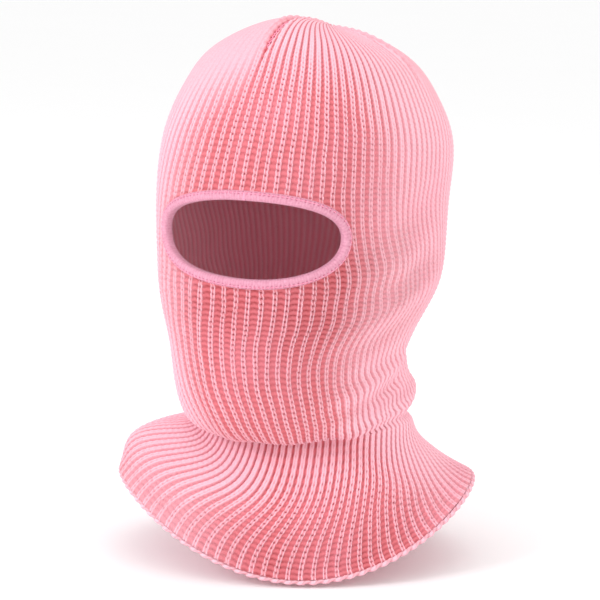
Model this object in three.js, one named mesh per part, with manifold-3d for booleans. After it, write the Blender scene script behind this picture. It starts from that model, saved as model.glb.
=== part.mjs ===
// One-hole knitted balaclava: head, face, neck and shoulder bib in one rib-knitted tube.
// Millimetres, +Z up. The wearer faces -Y and the wearer's left is +X.
// The origin is the middle of the head at the height of the eyes.
import * as THREE from "three";
import { mergeVertices } from "three/addons/utils/BufferGeometryUtils.js";
import Module from "manifold-3d";

const wasm = await Module();
wasm.setup();

// ---- driving dimensions ----

const headHalfWidth = 79;        // outside of the knit, above the ears
const browReach = 97;            // front of the forehead
const backReach = 99;            // back of the head
const crownHeight = 120;         // highest point of the crown, above the eyes
const chinReach = 93;            // front of the chin cover
const chinDrop = 122;            // underside of the chin roll, below the eyes
const neckHalfWidth = 65;
const throatReach = 51;          // front of the neck, tucked behind the chin roll
const hemHalfWidth = 106;        // across the shoulders
const hemReach = 90;             // front of the bib at its hem
const hemDrop = 195;             // lowest point of the hem, below the eyes
const shoulderDrop = 150;        // hem on top of the shoulders
const headTurn = -8;             // degrees, the head form inside the face opening
const shoulderTurn = 23;         // degrees, the shoulders under the turned head
const knitWall = 3.2;            // rib knit, stretched as worn

const openingHalfArc = 58;       // round the face, middle to corner
const openingUp = 21.5;          // eye line to the upper edge
const openingDown = 22.5;        // eye line to the lower edge
const openingSquare = 2.15;      // how square the corners are, where 2 is an ellipse

const bandWidth = 5.5;           // binding seen from the front
const bandCloth = 1;             // thickness of the folded binding
const bandClearance = 0.6;       // binding to knit
const bandStitchIn = 1.2;        // stitch row to the binding's outer edge
const tackIn = 0.6;              // tack to the binding's inner edge

const threadRadius = 0.5;
const seamThreadRadius = 0.7;
const seatGap = 0.4;             // between a laid-on piece and the knit
const firstSeam = -5;            // degrees, the seam over the forehead
const crownSeams = ["front", "left", "back", "right"];
const seamLength = 68;           // down the crown from the closing tie
const tieRadius = 5;
const tieHeight = 1.4;

const hemCordRadius = 1.6;

const labelWidth = 24;
const labelLength = 34;
const labelCloth = 0.5;
const labelLift = 8;             // above the hem
const labelStitchIn = 2;         // stitch row to the label's upper end

const wales = 60;                // columns of the hood's mesh
const courses = 34;              // rows of the hood's mesh
const ringSteps = 72;            // round the opening
const tieSteps = 24;
const seamSteps = 18;
const walkStep = 0.005;          // along the lines, when a length is measured

// ---- the lines of the hood, from the closing point down to the hem ----
// Each line is a section through the hood. front and back are [y, z] where it crosses the
// middle, side is [y, z] at its widest, square rounds it off (2 is an ellipse), turn swings it
// about +Z, tilt raises its +X side and shift moves it along X.

const lines = [
  { front: [8, crownHeight - 6], back: [8, crownHeight - 6], half: 0, side: [8, crownHeight - 6],
    square: 2.1, shift: 12 },
  { front: [-30, crownHeight], back: [38, crownHeight - 16], half: 28, side: [6, crownHeight - 10],
    square: 2.1, shift: 6 },
  { front: [-53, crownHeight - 10], back: [65, 87], half: 57, side: [5, 97], square: 2.1,
    shift: 2 },
  { front: [-68, 91], back: [86, 63], half: headHalfWidth - 8, side: [10, 77], square: 2.2 },
  { front: [-86, 60], back: [backReach - 1, 38], half: headHalfWidth, side: [10, 49],
    square: 2.3 },
  { front: [-browReach, 22], back: [backReach, 8], half: headHalfWidth - 2, side: [8, 16],
    square: 2.4 },
  { front: [1 - browReach, -10], back: [backReach, -22], half: headHalfWidth - 4,
    side: [8, -15], square: 2.5 },
  { front: [-browReach, -40], back: [backReach - 5, -48], half: headHalfWidth - 8,
    side: [6, -42], square: 2.5 },
  { front: [-chinReach - 5, -68], back: [78, -72], half: 61, side: [0, -68], square: 2.4 },
  { front: [-chinReach, -94], back: [72, -90], half: 60, side: [1, -89], square: 2.3 },
  { front: [11 - chinReach, 8 - chinDrop], back: [68, -106], half: neckHalfWidth - 1,
    side: [4, -105], square: 2.2, turn: headTurn / 2 },
  { front: [-throatReach - 13, -chinDrop], back: [64, -116], half: neckHalfWidth,
    side: [3, -114], square: 2.1, turn: 0 },
  { front: [-throatReach, -chinDrop], back: [65, -128], half: neckHalfWidth + 1,
    side: [5, -118], square: 2, turn: 7, shift: 3 },
  { front: [-throatReach - 15, -147], back: [72, -142], half: neckHalfWidth + 5,
    side: [4, 25 - shoulderDrop], square: 2, turn: 13, tilt: -0.05, shift: 4 },
  { front: [8 - hemReach, 22 - hemDrop], back: [87, -159], half: hemHalfWidth - 15,
    side: [3, 14 - shoulderDrop], square: 2, turn: shoulderTurn - 1, tilt: -0.07, shift: -2 },
  { front: [-hemReach, -hemDrop], back: [100, -176], half: hemHalfWidth,
    side: [-7, -shoulderDrop], square: 2, turn: shoulderTurn },
];
const lastLine = lines.length - 1;
const eyeLine = 5.6;             // where along the lines the face is level with the eyes

// ---- the hood's surface ----

// A natural cubic spline through values at 0, 1, 2, ...
function spline(values) {
  const n = values.length;
  const bend = new Array(n).fill(0);
  const keep = new Array(n).fill(0);
  const want = new Array(n).fill(0);
  for (let i = 1; i < n - 1; i++) {
    const pull = 6 * (values[i + 1] - 2 * values[i] + values[i - 1]);
    const pivot = 4 - keep[i - 1];
    keep[i] = 1 / pivot;
    want[i] = (pull - want[i - 1]) / pivot;
  }
  for (let i = n - 2; i > 0; i--) bend[i] = want[i] - keep[i] * bend[i + 1];
  return (at) => {
    const i = Math.min(Math.max(Math.floor(at), 0), n - 2);
    const b = at - i;
    const a = 1 - b;
    const curved = ((a ** 3 - a) * bend[i] + (b ** 3 - b) * bend[i + 1]) / 6;
    return a * values[i] + b * values[i + 1] + curved;
  };
}

const along = {
  frontY: spline(lines.map((l) => l.front[0])),
  frontZ: spline(lines.map((l) => l.front[1])),
  backY: spline(lines.map((l) => l.back[0])),
  backZ: spline(lines.map((l) => l.back[1])),
  half: spline(lines.map((l) => l.half)),
  sideY: spline(lines.map((l) => l.side[0])),
  sideZ: spline(lines.map((l) => l.side[1])),
  square: spline(lines.map((l) => l.square)),
  turn: spline(lines.map((l) => THREE.MathUtils.degToRad(l.turn ?? headTurn))),
  tilt: spline(lines.map((l) => l.tilt ?? 0)),
  shift: spline(lines.map((l) => l.shift ?? 0)),
};

// The outer surface, at an angle round from the face (0 is -Y, a quarter turn is +X) and at a
// place along the lines.
function outer(angle, at) {
  const turn = along.turn(at);
  const swung = angle - turn;
  const power = 2 / along.square(at);
  const sideways = Math.sin(swung);
  const forward = Math.cos(swung);
  const x = along.half(at) * Math.sign(sideways) * Math.abs(sideways) ** power;
  const endY = forward >= 0 ? along.frontY(at) : along.backY(at);
  const endZ = forward >= 0 ? along.frontZ(at) : along.backZ(at);
  const y = along.sideY(at) + (endY - along.sideY(at)) * Math.abs(forward) ** power;
  const z = along.sideZ(at) + (endZ - along.sideZ(at)) * forward ** 2 + along.tilt(at) * x;
  return new THREE.Vector3(
    along.shift(at) + x * Math.cos(turn) - y * Math.sin(turn),
    x * Math.sin(turn) + y * Math.cos(turn),
    z,
  );
}

// The direction down the hood, along a rib.
function downRib(angle, at) {
  const step = 0.02;
  const below = outer(angle, Math.min(at + step, lastLine));
  return below.sub(outer(angle, Math.max(at - step, 0))).normalize();
}

// The outward direction.
function outward(angle, at) {
  const round = 0.02;
  const clearOfTip = Math.max(at, 0.05);
  const across = outer(angle + round, clearOfTip).sub(outer(angle - round, clearOfTip));
  return downRib(angle, clearOfTip).cross(across).normalize();
}

// A point at a height over the outer surface; the inner surface is at -knitWall.
function over(angle, at, height) {
  return outer(angle, at).addScaledVector(outward(angle, at), height);
}

// ---- the face chart: arc round the face and height, both in millimetres ----

const chartSteps = 80;
const chartAngle = THREE.MathUtils.degToRad(75);
const chart = [{ arc: 0, angle: 0 }];
for (let i = 1; i <= chartSteps; i++) {
  const angle = (chartAngle * i) / chartSteps;
  const before = chart[i - 1];
  const step = outer(angle, eyeLine).distanceTo(outer(before.angle, eyeLine));
  chart.push({ arc: before.arc + step, angle });
}

function angleAtArc(arc) {
  const reach = Math.abs(arc);
  const i = chart.findIndex((c) => c.arc >= reach) || 1;
  const share = (reach - chart[i - 1].arc) / (chart[i].arc - chart[i - 1].arc);
  const angle = THREE.MathUtils.lerp(chart[i - 1].angle, chart[i].angle, share);
  return Math.sign(arc) * angle;
}

function placeAtHeight(angle, height) {
  let above = 3.5;
  let below = 8;
  for (let i = 0; i < 40; i++) {
    const middle = (above + below) / 2;
    if (outer(angle, middle).z > height) above = middle;
    else below = middle;
  }
  return (above + below) / 2;
}

function onFace(arc, height, lift) {
  const angle = angleAtArc(arc);
  return over(angle, placeAtHeight(angle, height), lift);
}

// The inner edge of the binding: a rounded oblong, as [arc, height].
function openingEdge(share) {
  const round = 2 * Math.PI * share;
  const power = 2 / openingSquare;
  const arc = openingHalfArc * Math.sign(Math.cos(round)) * Math.abs(Math.cos(round)) ** power;
  const reach = Math.sin(round) > 0 ? openingUp : openingDown;
  const height = reach * Math.sign(Math.sin(round)) * Math.abs(Math.sin(round)) ** power;
  return new THREE.Vector2(arc, height);
}

// The same edge, evenly stepped and moved outwards by a distance.
const edgePoints = new THREE.CurvePath();
const edgeSamples = 400;
const edgeRaw = [];
for (let i = 0; i < edgeSamples; i++) edgeRaw.push(openingEdge(i / edgeSamples));
for (let i = 0; i < edgeSamples; i++) {
  edgePoints.add(new THREE.LineCurve(edgeRaw[i], edgeRaw[(i + 1) % edgeSamples]));
}

function edgeMoved(share, distance) {
  const here = edgePoints.getPointAt(share);
  const ahead = edgePoints.getPointAt((share + 0.01) % 1);
  const behind = edgePoints.getPointAt((share + 0.99) % 1);
  const run = ahead.sub(behind).normalize();
  return new THREE.Vector2(here.x + run.y * distance, here.y - run.x * distance);
}

// ---- mesh helpers ----

function geometryOf(points, triangles) {
  const geometry = new THREE.BufferGeometry();
  geometry.setAttribute("position", new THREE.Float32BufferAttribute(points.flat(), 3));
  geometry.setIndex(triangles);
  return geometry;
}

// Rows of points, each row a closed loop, joined into a skin; the loop runs anticlockwise seen
// against the direction of the rows. wrap joins the last row to the first.
function loopSkin(rows, wrap) {
  const count = rows[0].length;
  const points = rows.flat().map((p) => p.toArray());
  const triangles = [];
  const last = wrap ? rows.length : rows.length - 1;
  for (let r = 0; r < last; r++) {
    const a = r * count;
    const b = ((r + 1) % rows.length) * count;
    for (let c = 0; c < count; c++) {
      const d = (c + 1) % count;
      triangles.push(a + c, a + d, b + d, a + c, b + d, b + c);
    }
  }
  return { points, triangles, count };
}

// Closes the two ends of a skin with a point each.
function capped(skin, firstTip, lastTip) {
  const { points, triangles, count } = skin;
  const lastRow = points.length - count;
  points.push(firstTip.toArray(), lastTip.toArray());
  const first = points.length - 2;
  const last = points.length - 1;
  for (let c = 0; c < count; c++) {
    const d = (c + 1) % count;
    triangles.push(first, d, c, last, lastRow + c, lastRow + d);
  }
  return geometryOf(points, triangles);
}

// A tube of round section along places, each { at, out, side }: out and side span its section.
function tube(places, radius, sides, closed) {
  const rows = places.map(({ at, out, side }) => {
    const row = [];
    for (let s = 0; s < sides; s++) {
      const round = (2 * Math.PI * s) / sides;
      const p = at.clone().addScaledVector(out, radius * Math.cos(round));
      row.push(p.addScaledVector(side, radius * Math.sin(round)));
    }
    return row;
  });
  const skin = loopSkin(rows, closed);
  if (closed) return geometryOf(skin.points, skin.triangles);
  return capped(skin, places[0].at, places[places.length - 1].at);
}

// Turns a skin's triangles over if its volume comes out negative.
function facingOut(geometry) {
  const position = geometry.getAttribute("position");
  const index = geometry.getIndex().array;
  const [a, b, c] = [new THREE.Vector3(), new THREE.Vector3(), new THREE.Vector3()];
  let volume = 0;
  for (let i = 0; i < index.length; i += 3) {
    a.fromBufferAttribute(position, index[i]);
    b.fromBufferAttribute(position, index[i + 1]);
    c.fromBufferAttribute(position, index[i + 2]);
    volume += a.dot(b.cross(c));
  }
  if (volume < 0) {
    for (let i = 0; i < index.length; i += 3) [index[i], index[i + 1]] = [index[i + 1], index[i]];
  }
  return geometry;
}

function solidOf(geometry) {
  const merged = mergeVertices(geometry, 1e-5);
  const mesh = new wasm.Mesh({
    numProp: 3,
    vertProperties: new Float32Array(merged.getAttribute("position").array),
    triVerts: new Uint32Array(merged.getIndex().array),
  });
  return new wasm.Manifold(mesh);
}

function geometryFrom(solid) {
  const mesh = solid.getMesh();
  const geometry = new THREE.BufferGeometry();
  geometry.setAttribute("position", new THREE.Float32BufferAttribute(mesh.vertProperties, 3));
  geometry.setIndex([...mesh.triVerts]);
  return geometry;
}

function material(color, roughness) {
  return new THREE.MeshStandardMaterial({ color, roughness, metalness: 0 });
}

const knitPink = material(0xf4a6b4, 0.9);
const bindingPink = material(0xf7b2d0, 0.8);
const threadPink = material(0xf5a3c0, 0.75);
const labelWhite = material(0xf2efec, 0.7);

const part = new THREE.Group();

function add(name, geometry, finish) {
  const mesh = new THREE.Mesh(facingOut(geometry), finish);
  mesh.name = name;
  part.add(mesh);
}

// ---- the hood ----

function hoodRow(at, height) {
  const row = [];
  for (let w = 0; w < wales; w++) row.push(over((2 * Math.PI * w) / wales, at, height));
  return row;
}

// Outside from the crown to the hem, then inside back up to the crown.
function hoodShell() {
  const rows = [];
  for (let c = 1; c <= courses; c++) rows.push(hoodRow((lastLine * c) / courses, 0));
  for (let c = courses; c >= 1; c--) rows.push(hoodRow((lastLine * c) / courses, -knitWall));
  const skin = loopSkin(rows, false);
  return capped(skin, over(0, 0, 0), over(0, 0, -knitWall));
}

// What is cut away for the face: a plug through the wall, inside the binding's fold.
function openingPlug() {
  const fold = bandCloth + bandClearance;
  const proud = 4;
  const rings = [0.25, 0.5, 0.75, 1];
  const ringAt = (size, lift) => {
    const row = [];
    for (let s = 0; s < ringSteps; s++) {
      const edge = edgeMoved(s / ringSteps, fold).multiplyScalar(size);
      row.push(onFace(edge.x, edge.y, lift));
    }
    return row;
  };
  const rows = rings.map((size) => ringAt(size, proud));
  rows.push(...rings.reverse().map((size) => ringAt(size, -knitWall - proud)));
  const skin = loopSkin(rows, false);
  return facingOut(capped(skin, onFace(0, 0, proud), onFace(0, 0, -knitWall - proud)));
}

function hood() {
  return geometryFrom(solidOf(facingOut(hoodShell())).subtract(solidOf(openingPlug())));
}

// ---- the binding round the eyes, folded over the knit's cut edge ----

function binding() {
  const top = bandClearance + bandCloth;
  const bottom = -knitWall - bandClearance - bandCloth;
  const section = [
    [0, top], [bandWidth, top], [bandWidth, top - bandCloth], [bandCloth, top - bandCloth],
    [bandCloth, bottom + bandCloth], [bandWidth, bottom + bandCloth], [bandWidth, bottom],
    [0, bottom],
  ];
  const rows = [];
  for (let s = 0; s < ringSteps; s++) {
    rows.push(section.map(([distance, lift]) => {
      const edge = edgeMoved(s / ringSteps, distance);
      return onFace(edge.x, edge.y, lift);
    }));
  }
  const skin = loopSkin(rows, true);
  return geometryOf(skin.points, skin.triangles);
}

// A place on the binding's outer leg for a thread of the given radius.
function overBinding(share, distance, radius) {
  const lift = bandClearance + bandCloth + seatGap + radius;
  const edge = edgeMoved(share, distance);
  const further = edgeMoved(share, distance + 1);
  const at = onFace(edge.x, edge.y, lift);
  const out = onFace(edge.x, edge.y, lift + 1).sub(at).normalize();
  const side = onFace(further.x, further.y, lift).sub(at).normalize();
  return { at, out, side };
}

function bindingStitch() {
  const places = [];
  for (let s = 0; s < ringSteps; s++) {
    places.push(overBinding(s / ringSteps, bandWidth - bandStitchIn, threadRadius));
  }
  return tube(places, threadRadius, 5, true);
}

// The bar tack over the binding's joined ends, across the middle of the upper edge.
function bindingTack() {
  const places = [];
  const last = bandWidth - 2 * bandStitchIn - 2 * threadRadius - seatGap;
  for (const share of [0, 0.25, 0.5, 0.75, 1]) {
    const distance = tackIn + last * share;
    const { at, out } = overBinding(0.25, distance, threadRadius);
    const beside = overBinding(0.255, distance, threadRadius).at;
    places.push({ at, out, side: beside.sub(at).normalize() });
  }
  return tube(places, threadRadius, 6, false);
}

// ---- the crown ----

// The place on a rib a distance along it from another place: down the hood, or up with way -1.
function walk(angle, from, distance, way) {
  let run = 0;
  let at = from;
  while (run < distance) {
    run += outer(angle, at + way * walkStep).distanceTo(outer(angle, at));
    at += way * walkStep;
  }
  return at;
}

// The button of gathered rib ends at the closing point.
function tieDisc() {
  const rowAt = (size, lift) => {
    const row = [];
    for (let s = 0; s < tieSteps; s++) {
      const angle = (2 * Math.PI * s) / tieSteps;
      row.push(over(angle, walk(angle, 0, tieRadius * size, 1), lift));
    }
    return row;
  };
  const rows = [
    rowAt(0.5, seatGap), rowAt(1, seatGap), rowAt(1, seatGap + tieHeight / 2),
    rowAt(0.7, seatGap + tieHeight),
  ];
  return capped(loopSkin(rows, false), over(0, 0, seatGap), over(0, 0, seatGap + tieHeight));
}

function crownSeam(angle) {
  const clear = tieRadius + seatGap + seamThreadRadius;
  const first = walk(angle, 0, clear, 1);
  const last = walk(angle, first, seamLength, 1);
  const places = [];
  for (let s = 0; s <= seamSteps; s++) {
    const at = THREE.MathUtils.lerp(first, last, s / seamSteps);
    const out = outward(angle, at);
    const side = downRib(angle, at).cross(out).normalize();
    places.push({ at: over(angle, at, seatGap + seamThreadRadius), out, side });
  }
  return tube(places, seamThreadRadius, 6, false);
}

// ---- the hem ----

// The start edge: a cord under the rim, square to the rim all the way round.
function hemEdge() {
  const places = [];
  for (let w = 0; w < wales; w++) {
    const angle = (2 * Math.PI * w) / wales;
    const ahead = outer(angle + Math.PI / wales, lastLine);
    const round = ahead.sub(outer(angle - Math.PI / wales, lastLine)).normalize();
    const out = outward(angle, lastLine);
    const down = round.cross(out).normalize();
    down.multiplyScalar(Math.sign(down.dot(downRib(angle, lastLine))));
    const middle = over(angle, lastLine, -knitWall / 2);
    places.push({ at: middle.addScaledVector(down, hemCordRadius + seatGap), out, side: down });
  }
  return tube(places, hemCordRadius, 6, true);
}

// ---- the label inside the back of the bib ----

// A place under the back of the bib, a distance sideways from its middle.
function underBack(sideways, at, lift) {
  const middle = outer(Math.PI, at);
  return over(Math.PI - sideways / Math.hypot(middle.x, middle.y), at, lift);
}

function label() {
  const top = -knitWall - seatGap;
  const across = [-0.5, -0.25, 0, 0.25, 0.5];
  const first = walk(Math.PI, lastLine, labelLift, -1);
  const rows = [0, 1, 2, 3, 4, 5, 6].map((step) => {
    const at = walk(Math.PI, first, (labelLength * step) / 6, -1);
    const upper = across.map((share) => underBack(labelWidth * share, at, top));
    const lower = across.map((share) => underBack(labelWidth * share, at, top - labelCloth));
    return [...upper, ...lower.reverse()];
  });
  const middleOf = (row) => row[2].clone().add(row[7]).multiplyScalar(0.5);
  return capped(loopSkin(rows, false), middleOf(rows[0]), middleOf(rows[6]));
}

function labelStitch() {
  const at = walk(Math.PI, lastLine, labelLift + labelLength - labelStitchIn, -1);
  const lift = -knitWall - 2 * seatGap - labelCloth - threadRadius;
  const places = [];
  for (let s = 0; s <= 8; s++) {
    const sideways = (labelWidth - 2 * threadRadius) * (s / 8 - 0.5);
    const here = underBack(sideways, at, lift);
    const inner = underBack(sideways, at, lift - 1);
    const next = underBack(sideways, at - 0.02, lift);
    const out = inner.sub(here).normalize();
    places.push({ at: here, out, side: next.sub(here).normalize() });
  }
  return tube(places, threadRadius, 6, false);
}

// ---- the assembly ----

add("hood_knit", hood(), knitPink);
add("eye_binding", binding(), bindingPink);
add("eye_binding_stitch", bindingStitch(), threadPink);
add("eye_binding_tack", bindingTack(), threadPink);
crownSeams.forEach((name, i) => {
  const angle = THREE.MathUtils.degToRad(firstSeam) + (i * Math.PI) / 2;
  add(`crown_seam_${name}`, crownSeam(angle), threadPink);
});
add("crown_tie", tieDisc(), threadPink);
add("hem_edge", hemEdge(), knitPink);
add("care_label", label(), labelWhite);
add("label_stitch", labelStitch(), threadPink);

export default part;
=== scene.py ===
import math

import bpy
import numpy as np
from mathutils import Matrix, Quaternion, Vector


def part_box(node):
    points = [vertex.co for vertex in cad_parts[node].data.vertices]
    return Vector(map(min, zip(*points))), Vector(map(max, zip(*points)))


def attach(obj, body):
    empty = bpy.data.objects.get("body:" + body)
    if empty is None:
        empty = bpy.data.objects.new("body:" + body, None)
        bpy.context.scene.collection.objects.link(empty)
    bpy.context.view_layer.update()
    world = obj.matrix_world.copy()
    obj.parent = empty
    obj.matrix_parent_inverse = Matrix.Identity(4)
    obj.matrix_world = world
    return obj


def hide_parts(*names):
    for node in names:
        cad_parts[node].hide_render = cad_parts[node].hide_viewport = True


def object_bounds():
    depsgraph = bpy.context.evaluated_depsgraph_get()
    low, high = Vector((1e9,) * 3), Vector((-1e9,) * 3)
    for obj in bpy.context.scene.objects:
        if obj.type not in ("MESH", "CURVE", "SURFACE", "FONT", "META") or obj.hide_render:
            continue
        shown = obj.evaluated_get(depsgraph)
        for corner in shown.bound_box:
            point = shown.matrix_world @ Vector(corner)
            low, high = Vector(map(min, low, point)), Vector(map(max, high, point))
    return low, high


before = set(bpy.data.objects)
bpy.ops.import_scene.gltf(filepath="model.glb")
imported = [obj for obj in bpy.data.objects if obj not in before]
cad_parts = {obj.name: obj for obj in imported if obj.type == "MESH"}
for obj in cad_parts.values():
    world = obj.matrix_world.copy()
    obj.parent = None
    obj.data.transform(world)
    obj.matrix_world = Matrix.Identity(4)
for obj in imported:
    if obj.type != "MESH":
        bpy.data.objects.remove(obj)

# A one-hole balaclava in 1 x 1 rib knit, as it is worn. Lengths are millimetres until a piece
# is made, and metres in the scene. The wearer faces -Y, +X is the wearer's left, +Z is up.

cad_low, cad_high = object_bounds()
TURN = 2 * math.pi
rng = np.random.default_rng(7)

# ---- the hood's own sizes ----

RIBS = 100               # knit ribs round the tube
RIB_COLUMNS = 12         # mesh columns in a rib and its trough
COURSE = 3.1             # height of one row of knitting
COURSE_ROWS = 4          # mesh rows in a course
FIRST_SEAM = -5          # degrees, the crown seam over the forehead
SEAM_LENGTH = 68
TIE_RADIUS = 5
WALL = 3.2
EYE_LINE = 5.6           # where along the lines the face is level with the eyes
OPENING_ARC = 58         # round the face, middle to corner
OPENING_UP = 21.5
OPENING_DOWN = 22.5
OPENING_SQUARE = 2.15
BAND = 5.5               # width of the binding
BAND_STITCH = 2.6        # length of one stitch on the binding
LINKING_STITCH = 2.4     # on the crown's seams
LABEL_STITCH = 2.2       # and round the label
HEM_CORD = 1.6
LABEL = (24, 34)
LABEL_LIFT = 8

# The lines of the hood from the crown to the hem. Each is a section: where it crosses the middle
# in front (y, z) and behind (y, z), its half width, where it is widest (y, z), how square it is,
# its turn in degrees, its tilt and its shift to +X.
LINES = np.array([
    [8, 114, 8, 114, 0, 8, 114, 2.1, -8, 0, 12],
    [-30, 120, 38, 104, 28, 6, 110, 2.1, -8, 0, 6],
    [-53, 110, 65, 87, 57, 5, 97, 2.1, -8, 0, 2],
    [-68, 91, 86, 63, 71, 10, 77, 2.2, -8, 0, 0],
    [-86, 60, 98, 38, 79, 10, 49, 2.3, -8, 0, 0],
    [-97, 22, 99, 8, 77, 8, 16, 2.4, -8, 0, 0],
    [-96, -10, 99, -22, 75, 8, -15, 2.5, -8, 0, 0],
    [-97, -40, 94, -48, 71, 6, -42, 2.5, -8, 0, 0],
    [-98, -68, 78, -72, 61, 0, -68, 2.4, -8, 0, 0],
    [-93, -94, 72, -90, 60, 1, -89, 2.3, -8, 0, 0],
    [-82, -114, 68, -106, 64, 4, -105, 2.2, -4, 0, 0],
    [-64, -122, 64, -116, 65, 3, -114, 2.1, 0, 0, 0],
    [-51, -122, 65, -128, 66, 5, -118, 2, 7, 0, 3],
    [-66, -147, 72, -142, 70, 4, -125, 2, 13, -0.05, 4],
    [-82, -173, 87, -159, 91, 3, -136, 2, 22, -0.07, -2],
    [-90, -195, 100, -176, 106, -7, -150, 2, 23, 0, 0],
], float)
LAST = len(LINES) - 1

# How much wider than even the ribs are drawn in front at each line, and where, in degrees.
SPREAD = np.array([0, 0, 0, .02, .08, .18, .3, .38, .38, .32, .2, .1, .06, .06, .09, .12])
SPREAD_MIDDLE = 14
# How far the ribs swing towards the wearer's left at each line, in degrees.
SWING = np.array([0, 0, 0, 0, 0, 0, 0, 2, 3, 5, 5, 4, 2, -1, -6, -12])


# ---- the hood's surface ----

def natural_bend(values):
    """Second differences of the natural cubic spline through rows at 0, 1, 2, ..."""
    inner = len(values) - 2
    system = 4 * np.eye(inner) + np.eye(inner, k=1) + np.eye(inner, k=-1)
    bend = np.zeros_like(values)
    bend[1:-1] = np.linalg.solve(system, 6 * np.diff(values, 2, axis=0))
    return bend


LINE_BEND = natural_bend(LINES)


def line_at(at):
    """The section's numbers at any place along the lines: the natural cubic spline."""
    low = np.clip(np.floor(at).astype(int), 0, LAST - 1)
    b = (at - low)[..., None]
    a = 1 - b
    curve = ((a**3 - a) * LINE_BEND[low] + (b**3 - b) * LINE_BEND[low + 1]) / 6
    return np.moveaxis(a * LINES[low] + b * LINES[low + 1] + curve, -1, 0)


def outer(angle, at):
    """A point of the outside: on a section made of four quarter superellipses, whose height goes
    from the side's to the front's or the back's with the square of the cosine, turned about Z."""
    angle, at = np.broadcast_arrays(np.asarray(angle, float), np.asarray(at, float))
    fy, fz, by, bz, half, sy, sz, square, turn, tilt, shift = line_at(at)
    turn = np.radians(turn)
    sideways, forward = np.sin(angle - turn), np.cos(angle - turn)
    x = half * np.sign(sideways) * np.abs(sideways) ** (2 / square)
    end_y = np.where(forward >= 0, fy, by)
    end_z = np.where(forward >= 0, fz, bz)
    y = sy + (end_y - sy) * np.abs(forward) ** (2 / square)
    z = sz + (end_z - sz) * forward**2 + tilt * x
    return np.stack([
        shift + x * np.cos(turn) - y * np.sin(turn), x * np.sin(turn) + y * np.cos(turn), z,
    ], -1)


def unit(v):
    """The direction of a vector, its length made 1."""
    return v / np.maximum(np.linalg.norm(v, axis=-1, keepdims=True), 1e-9)


def outward(angle, at):
    """The outward direction: down the hood crossed with the way round it, from small steps."""
    at = np.maximum(at, 0.06)
    down = outer(angle, np.minimum(at + 0.03, LAST)) - outer(angle, at - 0.03)
    across = outer(angle + 0.03, at) - outer(angle - 0.03, at)
    return unit(np.cross(down, across))


def over(angle, at, lift):
    """A point a height over the outside."""
    return outer(angle, at) + outward(angle, at) * np.asarray(lift, float)[..., None]


def own_box():
    """The box of the lines' own surface."""
    angle, at = np.meshgrid(np.linspace(0, TURN, 61), np.linspace(0, LAST, 35))
    points = outer(angle, at).reshape(-1, 3)
    return points.min(0), points.max(0)


OWN_LOW, OWN_HIGH = own_box()
BOX_LOW, BOX_HIGH = (np.array(corner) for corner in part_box("hood_knit"))


def in_frame(points):
    """Millimetres of the lines to metres of the frame, so that the two boxes agree."""
    share = (points - OWN_LOW) / (OWN_HIGH - OWN_LOW)
    return BOX_LOW + share * (BOX_HIGH - BOX_LOW)


# ---- ribs and courses laid over the surface ----

ARC_STEPS = 1200         # even steps of arc round the hood in the table of angles
ARC_ROWS = 10            # and its rows from one line to the next
EASE_STEPS = 100         # steps from one line to the next in an eased table


def arc_angles():
    """For even places along the lines, the angle at each even step of arc round the hood."""
    fine = np.linspace(0, TURN, 1441)
    places = np.linspace(0, LAST, LAST * ARC_ROWS + 1)
    steps = np.linspace(0, 1, ARC_STEPS + 1)
    table = []
    for at in places:
        ring = outer(fine, max(at, 0.05))
        run = np.concatenate([[0], np.cumsum(np.linalg.norm(np.diff(ring, axis=0), axis=-1))])
        table.append(np.interp(steps, run / run[-1], fine))
    return np.array(table)


ARC_TABLE = arc_angles()
ROUND_SMOOTH = 3.0       # lines over which the crown's even angles give way to even arcs


def eased(values):
    """Values given at whole lines, as a smooth table: the broken line between them, averaged
    with a bell about half a line wide."""
    fine = np.interp(EASED_PLACES, np.arange(LAST + 1), values)
    bell = np.exp(-np.linspace(-2.5, 2.5, 2 * EASE_STEPS + 1) ** 2)
    return np.convolve(np.pad(fine, EASE_STEPS, mode="edge"), bell / bell.sum(), mode="valid")


EASED_PLACES = np.linspace(0, LAST, LAST * EASE_STEPS + 1)
EASED_SPREAD, EASED_SWING = eased(SPREAD), eased(SWING / 360)

# Middle and reach in degrees, middle and reach in lines, size as a share of a turn, pace down the
# lines, and lean.
WAVES = [
    (72, 26, 6.9, 1.5, 0.0050, 5.0, 0.05),
    (90, 34, 9.7, 1.0, 0.0056, 7.5, 0.06),
    (-100, 34, 7.5, 1.8, 0.0036, 4.2, -0.05),
]


def sideways_waves(share, at):
    """How far slack ribs wander round the hood, as a share of a turn: slow waves down the
    wearer's left side and behind, dying out towards the face and the crown."""
    degrees = (share * 360 + 180) % 360 - 180
    total = 0
    for middle, reach, line, lines, size, pace, lean in WAVES:
        window = np.exp(-((degrees - middle) / reach) ** 2) * np.exp(-((at - line) / lines) ** 2)
        total = total + size * window * np.sin(pace * at + lean * degrees)
    return total


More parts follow.
